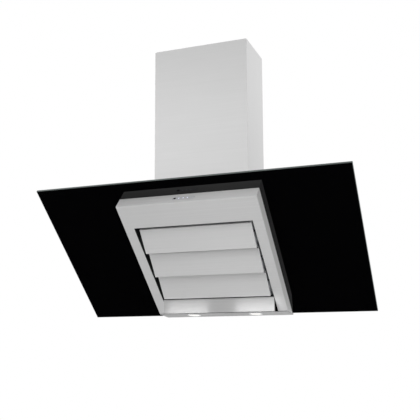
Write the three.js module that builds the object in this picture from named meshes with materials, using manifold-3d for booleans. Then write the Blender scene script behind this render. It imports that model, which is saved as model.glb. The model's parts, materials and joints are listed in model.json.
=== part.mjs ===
// Island range hood: a leaning glass panel with a louvred steel casing in front of it,
// a blower housing behind it and a telescopic chimney that hangs from the ceiling.
// Millimetres, +Z up, the cook stands on the -Y side. The origin is the middle of the
// ceiling plate's top face.
import * as THREE from 'three';
import { mergeVertices } from 'three/addons/utils/BufferGeometryUtils.js';
import Module from 'manifold-3d';

const wasm = await Module();
wasm.setup();

// ---------------------------------------------------------------- driving sizes
// Whole hood
const hoodHeight = 770;          // lowest glass edge to ceiling
const leanDegrees = 47;          // glass leans this far from upright, its top towards the cook
const sheet = 1.2;               // steel sheet of casing, housing and chimney
const seat = 0.3;                // gap between pieces that rest on each other
const play = 0.4;                // radial clearance of a pin in its hole

// Glass
const glassWidth = 900;
const glassLength = 505;         // up the slope
const glassThickness = 6;
const cutoutMargin = 21;         // casing outside to cut-out edge, at the sides
const cutoutLow = 78;            // cut-out edges, up the slope
const cutoutHigh = 440;

// Steel casing in front of the glass
const casingWidth = 404;
const casingTop = 454;           // up the slope
const casingDepth = 36;          // stands out from the glass
const casingLip = 42;            // front face ends this far up the slope
const railWidth = 29;            // side rails of the front face
const topRail = 78;              // top rail of the front face
const flangeWidth = 16;          // turned-in flange on the glass

// Louvres and deflector
const louvreCount = 3;
const louvrePitch = 88.5;
const louvreHeight = 80.3;
const louvreEndGap = 7.5;        // rail edge to louvre end
const louvreTilt = 11.1;         // degrees out of the front face, open
const louvreTopDrop = 11;        // opening edge to first louvre
const louvreDepth = 8;           // folded tray depth
const louvreSkin = 1;
const louvreTopRecess = 10.8;    // top edge of an open louvre behind the front face
const pivotBehindSkin = 4.5;     // pivot behind the louvre's front skin
const pivotAboveMiddle = 10;     // keeps a louvre hanging open by its own weight
const pinRadius = 2;
const crankLength = 14;
const crankPinRadius = 2;
const linkThickness = 2;
const linkWidth = 9;
const deflectorLength = 46.8;
const deflectorTilt = 40.4;      // degrees out of the front face, open
const deflectorEndGap = 1.9;
const deflectorDepth = 8;
const deflectorPinRadius = 2;
const deflectorPivotUp = 100;    // pivot, up the slope
const deflectorPivotIn = 5.7;    // pivot behind the front face

// Bearing rails that carry the louvres
const bearingThickness = 2.5;
const bearingFoot = 12;

// Lamp panel and lamps
const lampPanelFall = 7;         // rear edge lies this much lower than the front edge
const lampPanelRear = 6;         // rear edge behind the glass's front edge
const lampPanelLip = 9;
const lampSpacing = 196;
const lampSetback = 23;          // lamp centre behind the panel's front edge
const lampLensRadius = 18;
const lampBezelRadius = 21;
const lampBezelThickness = 1.5;
const lampBodyRadius = 16.5;
const lampBodyHeight = 8;
const lampBodyWall = 1.2;
const lampSinkRadius = 10;
const lampSinkHeight = 8;
const lampLensThickness = 3;

// Control window on the casing's top wall
const windowWidth = 64;
const windowDepth = 15;
const windowOffset = -6;         // from the hood's middle
const windowThickness = 2.4;
const keyPitch = 12.4;
const keyCount = 5;

// Blower housing behind the glass
const housingMargin = 19;        // casing outside to housing outside, at the sides
const housingTop = 314;
const housingRear = -22;         // rear wall
const housingFlange = 14;
const gasketThickness = 1;
const carrierBorder = 26;        // filter carrier's ring, from the housing's outside

// Grease filter
const filterThickness = 9;
const filterBorder = 16;
const filterOverlap = 8;         // filter rests this far over the carrier's ring
const latchTravel = 5;
const latchWidth = 24;
const latchBand = 24;            // frame above the mesh, which holds the latch

// Chimney and its telescopic frame
const chimneyWidth = 284;
const chimneyDepth = 158;
const chimneyMiddle = -154;      // chimney's middle, behind the lowest glass edge
const ceilingGap = 2;            // lower chimney to ceiling
const chimneyPlay = 1.3;         // upper chimney inside the lower one
const heightTravel = 280;
const postLeg = 20;
const postSheet = 1.6;
const postPlay = 0.5;            // lower post inside the upper one
const plateThickness = 2.5;
const ductRadius = 62.5;
const ductClearance = 3;
const screwRadius = 2.5;

// Blower
const impellerRadius = 55;
const impellerLength = 92;
const bladeCount = 24;
const bladeDepth = 9;
const scrollGap = 5;             // scroll to impeller at the cut-off
const scrollGrowth = 15;         // from cut-off to throat
const scrollSheet = 1.5;
const scrollSide = 3;            // impeller end to scroll side
const shaftRadius = 4;
const motorRadius = 38;
const motorLength = 48;
const collarHeight = 58;
const collarWall = 1.5;

// ---------------------------------------------------------------- finishes
const steel = new THREE.MeshStandardMaterial({ color: 0xc3c4c5, roughness: 0.35, metalness: 1 });
const chimneySteel = new THREE.MeshStandardMaterial({ color: 0xcdcecf, roughness: 0.38, metalness: 1 });
const blackGlass = new THREE.MeshStandardMaterial({ color: 0x050506, roughness: 0.05, metalness: 0 });
const galvanised = new THREE.MeshStandardMaterial({ color: 0x9ea3a6, roughness: 0.5, metalness: 1 });
const blackPlastic = new THREE.MeshStandardMaterial({ color: 0x141416, roughness: 0.5, metalness: 0 });
const rubber = new THREE.MeshStandardMaterial({ color: 0x1b1b1c, roughness: 0.85, metalness: 0 });
const chrome = new THREE.MeshStandardMaterial({ color: 0xdadcde, roughness: 0.15, metalness: 1 });
const frostedLens = new THREE.MeshStandardMaterial({ color: 0xffffff, roughness: 0.3, metalness: 0 });
const greyWindow = new THREE.MeshStandardMaterial({ color: 0x8d9094, roughness: 0.2, metalness: 0 });
const board = new THREE.MeshStandardMaterial({ color: 0x1d5a35, roughness: 0.6, metalness: 0 });
const whitePlastic = new THREE.MeshStandardMaterial({ color: 0xd8d8d4, roughness: 0.5, metalness: 0 });
const aluminium = new THREE.MeshStandardMaterial({ color: 0xb9bcc0, roughness: 0.45, metalness: 1 });

// ---------------------------------------------------------------- helpers
const radians = THREE.MathUtils.degToRad;
const lean = radians(leanDegrees);

// A closed manifold-3d solid from a three.js geometry.
function solid(geometry) {
  const bare = geometry.clone();
  bare.deleteAttribute('normal');
  bare.deleteAttribute('uv');
  const merged = mergeVertices(bare, 1e-4);
  return new wasm.Manifold(new wasm.Mesh({
    numProp: 3,
    vertProperties: Float32Array.from(merged.attributes.position.array),
    triVerts: Uint32Array.from(merged.index.array),
  }));
}

// The three.js geometry of a manifold-3d solid.
function geometryOf(manifold) {
  const result = manifold.getMesh();
  const geometry = new THREE.BufferGeometry();
  geometry.setAttribute('position', new THREE.BufferAttribute(result.vertProperties, 3));
  geometry.setIndex(new THREE.BufferAttribute(result.triVerts, 1));
  return geometry;
}

function cut(base, ...tools) {
  return geometryOf(tools.reduce((left, tool) => left.subtract(solid(tool)), solid(base)));
}

function join(base, ...others) {
  return geometryOf(others.reduce((left, other) => left.add(solid(other)), solid(base)));
}

// A box between two corners, given in either order.
function block(x0, x1, y0, y1, z0, z1) {
  const geometry = new THREE.BoxGeometry(Math.abs(x1 - x0), Math.abs(y1 - y0), Math.abs(z1 - z0));
  return geometry.translate((x0 + x1) / 2, (y0 + y1) / 2, (z0 + z1) / 2);
}

function outline(points) {
  return new THREE.Shape(points.map(([a, b]) => new THREE.Vector2(a, b)));
}

// A shape in the Y-Z plane, extruded along X from x0 to x1.
function alongX(shape, x0, x1, segments = 8) {
  const geometry = new THREE.ExtrudeGeometry(shape, {
    depth: x1 - x0, bevelEnabled: false, curveSegments: segments });
  const turn = new THREE.Matrix4().set(0, 0, 1, x0, 1, 0, 0, 0, 0, 1, 0, 0, 0, 0, 0, 1);
  return geometry.applyMatrix4(turn);
}

// A shape in the X-Y plane, extruded along Z from z0 to z1.
function alongZ(shape, z0, z1, segments = 8) {
  const geometry = new THREE.ExtrudeGeometry(shape, {
    depth: z1 - z0, bevelEnabled: false, curveSegments: segments });
  return geometry.translate(0, 0, z0);
}

function rodX(radius, x0, x1, y, z, sides = 20) {
  const geometry = new THREE.CylinderGeometry(radius, radius, x1 - x0, sides);
  return geometry.rotateZ(Math.PI / 2).translate((x0 + x1) / 2, y, z);
}

function rodY(radius, x, y0, y1, z, sides = 20) {
  const geometry = new THREE.CylinderGeometry(radius, radius, Math.abs(y1 - y0), sides);
  return geometry.translate(x, (y0 + y1) / 2, z);
}

function rodZ(radius, x, y, z0, z1, sides = 20) {
  const geometry = new THREE.CylinderGeometry(radius, radius, z1 - z0, sides);
  return geometry.rotateX(Math.PI / 2).translate(x, y, (z0 + z1) / 2);
}

function tubeZ(outer, inner, x, y, z0, z1, sides = 48) {
  return cut(rodZ(outer, x, y, z0, z1, sides), rodZ(inner, x, y, z0 - 1, z1 + 1, sides));
}

function add(group, name, geometry, material) {
  const mesh = new THREE.Mesh(geometry, material);
  mesh.name = name;
  group.add(mesh);
  return mesh;
}

const sides = [['left', -1], ['right', 1]];

// ---------------------------------------------------------------- groups
// `ceiling` hangs under the ceiling with its origin in the ceiling face. `hood` has its
// origin at the middle of the lowest edge of the glass's front face. `leaning` turns with
// the glass: X along it, Y from its front face to the rear, Z up its slope.
const assembly = new THREE.Group();
const ceiling = new THREE.Group();
const hood = new THREE.Group();
const leaning = new THREE.Group();
hood.position.set(0, -chimneyMiddle, -hoodHeight);
leaning.rotation.x = lean;
assembly.add(ceiling, hood);
hood.add(leaning);

// Height of the glass's parallel plane `depth` behind its front face, at a given y in `hood`.
const planeHeight = (y, depth) => (depth - y * Math.cos(lean)) / Math.sin(lean);
// Y in `hood` of that plane, at a given height.
const planeRear = (z, depth) => (depth - z * Math.sin(lean)) / Math.cos(lean);
// A world-aligned geometry seen from the leaning group.
const toLeaning = (geometry) => geometry.rotateX(-lean);

// ---------------------------------------------------------------- glass
const frontY = -casingDepth;
const casingHalf = casingWidth / 2;
const cutoutHalf = casingHalf - cutoutMargin;
const studX = casingHalf - sheet - flangeWidth / 2;
const studInset = 62;            // from the cut-out's upper and lower edges
const studHeights = [cutoutLow + studInset, cutoutHigh - studInset];
const studClearance = 0.6;
const studPlaces = sides.flatMap(([, side]) => studHeights.map((z) => [side * studX, z]));
// Stud holes through everything that is clamped to the glass.
const studHoles = studPlaces.map(([x, z]) => rodY(screwRadius + studClearance, x, -2, 40, z, 12));

add(leaning, 'glass_panel', cut(
  block(-glassWidth / 2, glassWidth / 2, 0, glassThickness, 0, glassLength),
  block(-cutoutHalf, cutoutHalf, -1, glassThickness + 1, cutoutLow, cutoutHigh),
  ...studHoles), blackGlass);

// ---------------------------------------------------------------- front casing
// Plane of the lamp panel: from the casing's lower front edge to below the glass.
const panelFrontY = -casingLip * Math.sin(lean) + frontY * Math.cos(lean);
const panelFrontZ = casingLip * Math.cos(lean) + frontY * Math.sin(lean);
const panelRearY = lampPanelRear;
const panelRearZ = panelFrontZ - lampPanelFall;
const panelSlope = (panelRearZ - panelFrontZ) / (panelRearY - panelFrontY);
const panelHeightAt = (y) => panelFrontZ + panelSlope * (y - panelFrontY);

// Everything below the panel's upper side, as a tool in the leaning group.
function belowPanel(lift) {
  const far = 300;
  const tool = outline([
    [panelFrontY - far, panelHeightAt(panelFrontY - far) + lift],
    [panelFrontY - far, -far], [far, -far], [far, panelHeightAt(far) + lift]]);
  return toLeaning(alongX(tool, -casingWidth, casingWidth));
}

const openingHalf = casingHalf - railWidth;
const openingTop = casingTop - topRail;
const windowY = frontY / 2 - 0.5;
const windowPlay = 0.3;

// A slot outline with round ends in the X-Y plane.
function slotShape(x, y, length, width) {
  const r = width / 2;
  const shape = new THREE.Shape();
  shape.moveTo(x - length / 2 + r, y - r);
  shape.lineTo(x + length / 2 - r, y - r);
  shape.absarc(x + length / 2 - r, y, r, -Math.PI / 2, Math.PI / 2);
  shape.lineTo(x - length / 2 + r, y + r);
  shape.absarc(x - length / 2 + r, y, r, Math.PI / 2, 1.5 * Math.PI);
  return shape;
}

const casingRear = -seat;
const flangeFront = casingRear - sheet;
const gasketFront = glassThickness + seat;
const carrierFront = gasketFront + gasketThickness + seat;
const carrierRear = carrierFront + sheet;
const flangeY = carrierRear + seat;              // housing flange's front face
const nutFront = flangeY + sheet + seat;
const nutThickness = 4;
// Weld studs on the casing's flange reach through the glass to the housing's flange.
const studs = studPlaces.map(([x, z]) => rodY(screwRadius, x, flangeFront + sheet / 2,
  nutFront + nutThickness + 2, z, 12));
add(leaning, 'front_casing', join(cut(
  block(-casingHalf, casingHalf, frontY, casingRear, -60, casingTop),
  block(-casingHalf + sheet, casingHalf - sheet, frontY + sheet, flangeFront, -61, casingTop - sheet),
  block(-openingHalf, openingHalf, frontY - 1, frontY + sheet + 1, -61, openingTop),
  block(-casingHalf + sheet + flangeWidth, casingHalf - sheet - flangeWidth, flangeFront - 1, 0,
    -61, casingTop - sheet - flangeWidth),
  alongZ(slotShape(windowOffset, windowY, windowWidth + 2 * windowPlay, windowDepth + 2 * windowPlay),
    casingTop - 2 * sheet, casingTop + 1, 6),
  belowPanel(sheet + seat)), ...studs), steel);

// ---------------------------------------------------------------- lamp panel and lamps
const lampY = panelFrontY + lampSetback;
const lampAngle = Math.atan(panelSlope);
const lampHoleRadius = lampBodyRadius + play;
const lampPanel = new THREE.Group();
lampPanel.position.set(0, lampY, panelHeightAt(lampY));
lampPanel.rotation.x = lampAngle;
hood.add(lampPanel);

const panelFrontReach = lampSetback / Math.cos(lampAngle);
const panelRearReach = (panelRearY - lampY) / Math.cos(lampAngle);
const lampHoles = sides.map(([, side]) => rodZ(lampHoleRadius, side * lampSpacing / 2, 0, -1, 4, 32));
add(lampPanel, 'lamp_panel', cut(join(
  block(-casingHalf, casingHalf, -panelFrontReach, panelRearReach, 0, sheet),
  block(-casingHalf, casingHalf, panelRearReach - sheet, panelRearReach, 0, lampPanelLip)),
  ...lampHoles), steel);

for (const [sideName, side] of sides) {
  const x = side * lampSpacing / 2;
  add(lampPanel, `lamp_bezel_${sideName}`, cut(
    rodZ(lampBezelRadius, x, 0, -seat - lampBezelThickness, -seat, 32),
    rodZ(lampLensRadius - 1, x, 0, -5, 1, 32)), chrome);
  add(lampPanel, `lamp_lens_${sideName}`, cut(join(
    rodZ(lampLensRadius - 1 - seat, x, 0, -seat - lampBezelThickness, lampLensThickness - 2, 32),
    rodZ(lampBodyRadius - lampBodyWall - seat, x, 0, -seat, lampLensThickness - 1, 32)),
    rodZ(lampBodyRadius - 3, x, 0, lampLensThickness - 2, lampLensThickness, 32)), frostedLens);
  add(lampPanel, `lamp_body_${sideName}`, cut(join(
    rodZ(lampBodyRadius, x, 0, sheet, sheet + lampBodyHeight, 32),
    rodZ(lampSinkRadius, x, 0, sheet + lampBodyHeight - 1, sheet + lampBodyHeight + lampSinkHeight, 24)),
    rodZ(lampBodyRadius - lampBodyWall, x, 0, sheet - 1, sheet + 2.5, 32)), whitePlastic);
}

// ---------------------------------------------------------------- control window and board
add(leaning, 'control_window', alongZ(
  slotShape(windowOffset, windowY, windowWidth, windowDepth),
  casingTop + 0.2 - windowThickness, casingTop + 0.2, 8), greyWindow);

const carrierTop = casingTop - sheet - seat;
const carrierDeep = 12;
const carrierWall = 1.6;
const carrierHalfX = windowWidth / 2 + 5;
const carrierHalfY = windowDepth / 2 + 3;
add(leaning, 'control_carrier', cut(
  block(windowOffset - carrierHalfX, windowOffset + carrierHalfX, windowY - carrierHalfY,
    windowY + carrierHalfY, carrierTop - carrierDeep, carrierTop),
  block(windowOffset - carrierHalfX + carrierWall, windowOffset + carrierHalfX - carrierWall,
    windowY - carrierHalfY + carrierWall, windowY + carrierHalfY - carrierWall,
    carrierTop - carrierDeep + carrierWall, carrierTop + 1),
  rodZ(3, windowOffset, windowY, carrierTop - carrierDeep - 1, carrierTop, 12)), blackPlastic);
const boardLow = carrierTop - carrierDeep + carrierWall + seat;
const boardThickness = 1.6;
const ledHeight = carrierTop + sheet - windowThickness - boardLow - boardThickness - 1;
add(leaning, 'control_board', join(
  block(windowOffset - carrierHalfX + carrierWall + seat, windowOffset + carrierHalfX - carrierWall - seat,
    windowY - carrierHalfY + carrierWall + seat, windowY + carrierHalfY - carrierWall - seat,
    boardLow, boardLow + boardThickness),
  ...Array.from({ length: keyCount }, (_, i) => {
    const x = windowOffset + (i - (keyCount - 1) / 2) * keyPitch;
    return block(x - 2, x + 2, windowY - 2, windowY + 2,
      boardLow + boardThickness / 2, boardLow + boardThickness + ledHeight);
  })), board);

// ---------------------------------------------------------------- louvres
const louvreHalf = openingHalf - louvreEndGap;
const tilt = radians(louvreTilt);
// Pivot of the first louvre: its skin's top edge lies `louvreTopRecess` behind the front face.
const skinTopZ = louvreHeight / 2 - pivotAboveMiddle;      // above the pivot, in the louvre
const skinLowZ = skinTopZ - louvreHeight;
const turned = (y, z, angle) => [
  y * Math.cos(angle) - z * Math.sin(angle), y * Math.sin(angle) + z * Math.cos(angle)];
const skinTop = turned(-pivotBehindSkin, skinTopZ, -tilt);
const pivotY = frontY + louvreTopRecess - skinTop[0];
const firstPivotZ = openingTop - louvreTopDrop - skinTop[1];
const pivotHeights = Array.from({ length: louvreCount }, (_, i) => firstPivotZ - i * louvrePitch);

const bearingInner = openingHalf + seat;
const bearingOuter = bearingInner + bearingThickness;
const crankInner = bearingOuter + seat + 0.2;
const crankThickness = 2;
const linkInner = crankInner + crankThickness + seat;
const skinBack = louvreDepth - pivotBehindSkin;

const louvreShell = cut(
  block(-louvreHalf, louvreHalf, -pivotBehindSkin, skinBack, skinLowZ, skinTopZ),
  block(-louvreHalf + louvreSkin, louvreHalf - louvreSkin, -pivotBehindSkin + louvreSkin, skinBack + 1,
    skinLowZ + louvreSkin, skinTopZ - louvreSkin),
  rodX(pinRadius + play, -louvreHalf - 1, louvreHalf + 1, 0, 0, 16));

// The louvre's shaft runs through both of its ends, with a crank on the right-hand end.
const shaftStart = -bearingOuter;
const louvreShaft = join(
  rodX(pinRadius, shaftStart, crankInner + crankThickness, 0, 0, 16),
  rodX(pinRadius + 1, crankInner, crankInner + crankThickness, 0, 0, 16),
  block(crankInner, crankInner + crankThickness, 0, crankLength, -3, 3),
  rodX(crankPinRadius + 1.4, crankInner, crankInner + crankThickness, crankLength, 0, 16),
  rodX(crankPinRadius, crankInner, linkInner + linkThickness + 1, crankLength, 0, 12));

pivotHeights.forEach((z, i) => {
  const louvre = new THREE.Group();
  louvre.position.set(0, pivotY, z);
  louvre.rotation.x = -tilt;
  leaning.add(louvre);
  add(louvre, `louvre_${i + 1}`, louvreShell, steel);
  add(louvre, `louvre_${i + 1}_shaft`, louvreShaft, galvanised);
});

// Link bar over the crank pins; its holes leave the pins free.
const crankPin = turned(crankLength, 0, -tilt);
const linkEnd = linkWidth / 2 + 1;
add(leaning, 'link_bar', cut(
  block(linkInner, linkInner + linkThickness,
    pivotY + crankPin[0] - linkWidth / 2, pivotY + crankPin[0] + linkWidth / 2,
    pivotHeights[louvreCount - 1] + crankPin[1] - linkEnd, pivotHeights[0] + crankPin[1] + linkEnd),
  ...pivotHeights.map((z) => rodX(crankPinRadius + play, linkInner - 1, linkInner + linkThickness + 1,
    pivotY + crankPin[0], z + crankPin[1], 12))), galvanised);

// ---------------------------------------------------------------- deflector
const deflectorHalf = openingHalf - deflectorEndGap;
const deflectorFront = -deflectorDepth / 2;
const deflectorOver = 3;                        // skin above the pivot
const deflectorLow = deflectorOver - deflectorLength;
const deflector = new THREE.Group();
const deflectorPivotY = frontY + deflectorPivotIn;
deflector.position.set(0, deflectorPivotY, deflectorPivotUp);
deflector.rotation.x = -radians(deflectorTilt);
leaning.add(deflector);
add(deflector, 'deflector', cut(
  block(-deflectorHalf, deflectorHalf, deflectorFront, deflectorDepth / 2, deflectorLow, deflectorOver),
  block(-deflectorHalf + louvreSkin, deflectorHalf - louvreSkin, deflectorFront + louvreSkin,
    deflectorDepth / 2 + 1, deflectorLow + louvreSkin, deflectorOver - louvreSkin),
  rodX(deflectorPinRadius + play, -deflectorHalf - 1, deflectorHalf + 1, 0, 0, 12)), steel);
add(deflector, 'deflector_shaft', rodX(deflectorPinRadius, -bearingOuter, bearingOuter, 0, 0, 12),
  galvanised);

// ---------------------------------------------------------------- bearing rails
const bearingFront = frontY + sheet + seat;
const bearingRear = flangeFront - seat;
const pivotHoles = [
  ...pivotHeights.map((z) => rodX(pinRadius + play, -casingHalf, casingHalf, pivotY, z, 16)),
  rodX(deflectorPinRadius + play, -casingHalf, casingHalf, deflectorPivotY, deflectorPivotUp, 12)];
for (const [sideName, side] of sides) {
  add(leaning, `bearing_rail_${sideName}`, cut(join(
    block(side * bearingInner, side * bearingOuter, bearingFront, bearingRear, -60, openingTop + 6),
    block(side * (bearingOuter - 1), side * (bearingOuter + bearingFoot), bearingRear - sheet * 2,
      bearingRear, -60, openingTop + 6)),
  belowPanel(2 * sheet + seat), ...pivotHoles), blackPlastic);
}

// Geared motor on the middle louvre's left-hand pin.
const motorY = pivotY + 4;
const motorZ = pivotHeights[1];
const gearLow = bearingOuter + seat;
add(leaning, 'louvre_motor', join(
  block(-gearLow - 12, -gearLow, motorY - 12, motorY + 9, motorZ - 34, motorZ + 12),
  rodX(8, -gearLow - 18, -gearLow - 11, motorY - 2, motorZ - 22, 20)), whitePlastic);

// ---------------------------------------------------------------- gasket, filter carrier, nuts
const housingHalf = casingHalf - housingMargin;
const flangeHalf = housingHalf + housingFlange;
const flangeLow = (flangeY * Math.cos(lean) - housingRear) / Math.sin(lean);
const flangeHigh = (housingTop - flangeY * Math.sin(lean)) / Math.cos(lean);
const carrierLow = cutoutLow - 26;
const carrierHigh = cutoutHigh + 14;
const carrierInnerHalf = flangeHalf - carrierBorder - housingFlange / 2;
const carrierInnerLow = carrierLow + carrierBorder + 12;
const carrierInnerHigh = carrierHigh - carrierBorder;
add(leaning, 'glass_gasket', cut(
  block(-flangeHalf, flangeHalf, gasketFront, gasketFront + gasketThickness, carrierLow, carrierHigh),
  block(-cutoutHalf - 2, cutoutHalf + 2, 0, 20, cutoutLow - 2, cutoutHigh + 2), ...studHoles), rubber);

const filterRear = carrierFront - seat;
const filterFront = filterRear - filterThickness;
const filterHalf = carrierInnerHalf + filterOverlap;
const filterLow = carrierInnerLow - filterOverlap;
const filterHigh = carrierInnerHigh + filterOverlap - 6;
const hookSheet = 1.2;
const hookLip = 8;
const tabHalf = 30;
const tabLow = filterHigh + 3;
const latchY = (filterFront + filterRear) / 2;
const latchThickness = 4;
add(leaning, 'filter_carrier', cut(join(
  block(-flangeHalf, flangeHalf, carrierFront, carrierRear, carrierLow, carrierHigh),
  block(-filterHalf, filterHalf, filterFront - seat - hookSheet, carrierFront + 0.5,
    filterLow - seat - hookSheet, filterLow - seat),
  block(-filterHalf, filterHalf, filterFront - seat - hookSheet, filterFront - seat,
    filterLow - seat - hookSheet, filterLow + hookLip),
  block(-tabHalf, tabHalf, filterFront, carrierFront + 0.5, tabLow, tabLow + hookSheet)),
  block(-carrierInnerHalf, carrierInnerHalf, 0, 30, carrierInnerLow, carrierInnerHigh),
  block(-latchWidth / 2 - 1, latchWidth / 2 + 1, latchY - latchThickness / 2 - 0.6,
    latchY + latchThickness / 2 + 0.6, tabLow - 1, tabLow + 5),
  ...studHoles), galvanised);

// The filter cassette: a frame with a pleated mesh between its edges, and a sliding latch.
const latchLow = filterHigh - latchBand + latchTravel + 3;
add(leaning, 'filter_frame', cut(
  block(-filterHalf, filterHalf, filterFront, filterRear, filterLow, filterHigh),
  block(-filterHalf + filterBorder, filterHalf - filterBorder, filterFront - 1, filterRear + 1,
    filterLow + filterBorder, filterHigh - latchBand - 4),
  block(-filterHalf + sheet, filterHalf - sheet, filterFront + sheet, filterRear - sheet,
    filterLow + sheet, filterHigh - latchBand),
  block(-latchWidth / 2 - play, latchWidth / 2 + play, latchY - latchThickness / 2 - play,
    latchY + latchThickness / 2 + play, latchLow - latchTravel - 1, filterHigh + 1),
  block(-latchWidth / 2 + 3, latchWidth / 2 - 3, filterFront - 1, latchY,
    latchLow - latchTravel - 1, filterHigh - 3)), aluminium);

const pleatCount = 16;
const meshLow = filterLow + sheet + seat;
const meshHigh = filterHigh - latchBand - seat;
const meshSheet = 1.6;
const pleatDepth = filterThickness - 2 * sheet - 2 * seat - meshSheet;
const pleat = (i) => filterRear - sheet - seat - meshSheet - (i % 2 ? pleatDepth : 0);
const pleats = Array.from({ length: pleatCount + 1 }, (_, i) => [
  pleat(i), meshLow + i * (meshHigh - meshLow) / pleatCount]);
add(leaning, 'filter_mesh', alongX(outline([
  ...pleats, ...pleats.map(([y, z]) => [y + meshSheet, z]).reverse()]),
-filterHalf + sheet + seat, filterHalf - sheet - seat), aluminium);

add(leaning, 'filter_latch', join(
  block(-latchWidth / 2, latchWidth / 2, latchY - latchThickness / 2, latchY + latchThickness / 2,
    latchLow, tabLow + hookSheet + 1),
  block(-latchWidth / 2 + 3.5, latchWidth / 2 - 3.5, filterFront - 4, latchY,
    latchLow + 1, latchLow + 5)), blackPlastic);

// Nuts on the casing's studs; the hole leaves the thread free.
studPlaces.forEach(([x, z], i) => add(leaning, `clamp_nut_${i + 1}`, cut(
  join(rodY(4.4, x, nutFront, nutFront + nutThickness, z, 6),
    rodY(5.5, x, nutFront, nutFront + 1, z, 20)),
  rodY(screwRadius + 0.1, x, nutFront - 1, nutFront + nutThickness + 1, z, 12)), galvanised));

// ---------------------------------------------------------------- blower housing
const glassSide = (z, depth) => [planeRear(z, depth), z];
const housingBottom = planeHeight(housingRear, flangeY);
const wedge = (rear, top, depth) => outline([
  [rear, planeHeight(rear, depth)], [rear, top], glassSide(top, depth)]);
const far = 60;
const housingInner = alongX(wedge(housingRear - sheet, housingTop - sheet, flangeY - far),
  -housingHalf + sheet, housingHalf - sheet);
const flangePlate = cut(
  block(-flangeHalf, flangeHalf, flangeY, flangeY + sheet, flangeLow + 4, flangeHigh),
  block(-housingHalf + sheet, housingHalf - sheet, 0, 30, flangeLow + 14, flangeHigh - 12));
const collarInner = ductRadius - collarWall;
const accessHalf = 120;
const accessLow = housingBottom + 60;
const accessHigh = housingTop - 34;
const cableX = -100;
const cableRadius = 8;
add(hood, 'rear_housing', cut(join(
  cut(alongX(wedge(housingRear, housingTop, flangeY), -housingHalf, housingHalf), housingInner),
  flangePlate.rotateX(lean)),
  rodZ(collarInner - 1, 0, chimneyMiddle, housingTop - 10, housingTop + 5, 40),
  rodZ(cableRadius + play, cableX, chimneyMiddle, housingTop - 10, housingTop + 5, 16),
  block(-accessHalf, accessHalf, housingRear - 5, housingRear + 5, accessLow, accessHigh),
  ...studHoles.map((hole) => hole.clone().rotateX(lean))), steel);

// The cover hangs in the access opening on folded hooks.
const coverRear = housingRear + seat + sheet;
const coverBorder = 18;
const hookHalf = 14;
const ventPitch = 22;
const ventCount = 9;
const coverHooks = [-1, 1].flatMap((side) => [-1, 1].map((end) => {
  const x = side * accessHalf * 0.6;
  const edge = end < 0 ? accessLow + seat : accessHigh - seat - sheet;
  const over = end < 0 ? [edge - 8, edge + sheet] : [edge, edge + sheet + 8];
  const hookFront = housingRear - 2 * sheet - seat;
  return join(
    block(x - hookHalf, x + hookHalf, hookFront, coverRear - sheet / 2, edge, edge + sheet),
    block(x - hookHalf, x + hookHalf, hookFront, hookFront + sheet, ...over));
}));
add(hood, 'rear_cover', join(cut(
  block(-accessHalf - coverBorder, accessHalf + coverBorder, housingRear + seat, coverRear,
    accessLow - coverBorder, accessHigh + coverBorder),
  ...Array.from({ length: ventCount }, (_, i) => {
    const x = (i - (ventCount - 1) / 2) * ventPitch;
    return block(x - 3, x + 3, housingRear, coverRear + 1, accessLow + 30, accessHigh - 30);
  })), ...coverHooks), steel);

// ---------------------------------------------------------------- blower
// The scroll's throat rises straight up under the outlet collar.
const scrollStart = impellerRadius + scrollGap;
const scrollEnd = scrollStart + scrollGrowth;
const throatFront = -scrollEnd;
const throatRear = -scrollEnd + 56;
const blowerY = chimneyMiddle - (throatFront + throatRear) / 2;
const blowerZ = housingTop - sheet - seat - scrollEnd - 2;
const throatTop = housingTop - sheet - seat;
const cutoffHeight = Math.sqrt(scrollStart ** 2 - throatRear ** 2);
const scrollTurns = 1.5 * Math.PI;               // from the top, over the rear, to the front
const scrollSteps = 20;
function scrollOutline(wall) {
  const points = [];
  for (let i = 0; i <= scrollSteps; i += 1) {
    const share = i / scrollSteps;
    const angle = Math.PI / 2 - share * scrollTurns;
    const r = scrollStart + scrollGrowth * share + wall;
    points.push([blowerY + r * Math.cos(angle), blowerZ + r * Math.sin(angle)]);
  }
  points.push([blowerY + throatFront - wall, throatTop + (wall ? 0 : 5)]);
  points.push([blowerY + throatRear + wall, throatTop + (wall ? 0 : 5)]);
  points.push([blowerY + throatRear + wall, blowerZ + cutoffHeight]);
  return outline(points);
}
const scrollHalf = impellerLength / 2 + scrollSide;
const inletRadius = impellerRadius - bladeDepth + 1;
const motorPlateRadius = motorRadius + 8;
const throatFlange = 9;
add(hood, 'blower_scroll', cut(join(
  alongX(scrollOutline(scrollSheet), -scrollHalf - scrollSheet, scrollHalf + scrollSheet),
  block(-scrollHalf - throatFlange, scrollHalf + throatFlange, blowerY + throatFront - throatFlange,
    blowerY + throatRear + throatFlange, throatTop - 2, throatTop)),
  alongX(scrollOutline(0), -scrollHalf, scrollHalf),
  rodX(inletRadius, -scrollHalf - 5, 0, blowerY, blowerZ, 40),
  rodX(motorPlateRadius - 8, 0, scrollHalf + 5, blowerY, blowerZ, 40)), galvanised);

// A bell-mouth ring clipped into the scroll's inlet.
const ringLip = inletRadius - seat;
const ringFlange = 8;
const ringWall = 1.5;
const ringDeep = scrollSheet + 2;
const ringProfile = [[ringLip, 0], [ringLip, ringDeep], [ringLip + ringFlange, ringDeep],
  [ringLip + ringFlange, ringDeep + 2], [ringLip - ringWall + 1, ringDeep + 2],
  [ringLip - ringWall, ringDeep], [ringLip - ringWall, 0], [ringLip, 0]];
const inletRing = new THREE.LatheGeometry(ringProfile.map(([r, a]) => new THREE.Vector2(r, a)), 40);
add(hood, 'inlet_ring', geometryOf(solid(inletRing)).rotateZ(Math.PI / 2)
  .translate(-scrollHalf - scrollSheet - seat + ringDeep, blowerY, blowerZ), blackPlastic);

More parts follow.
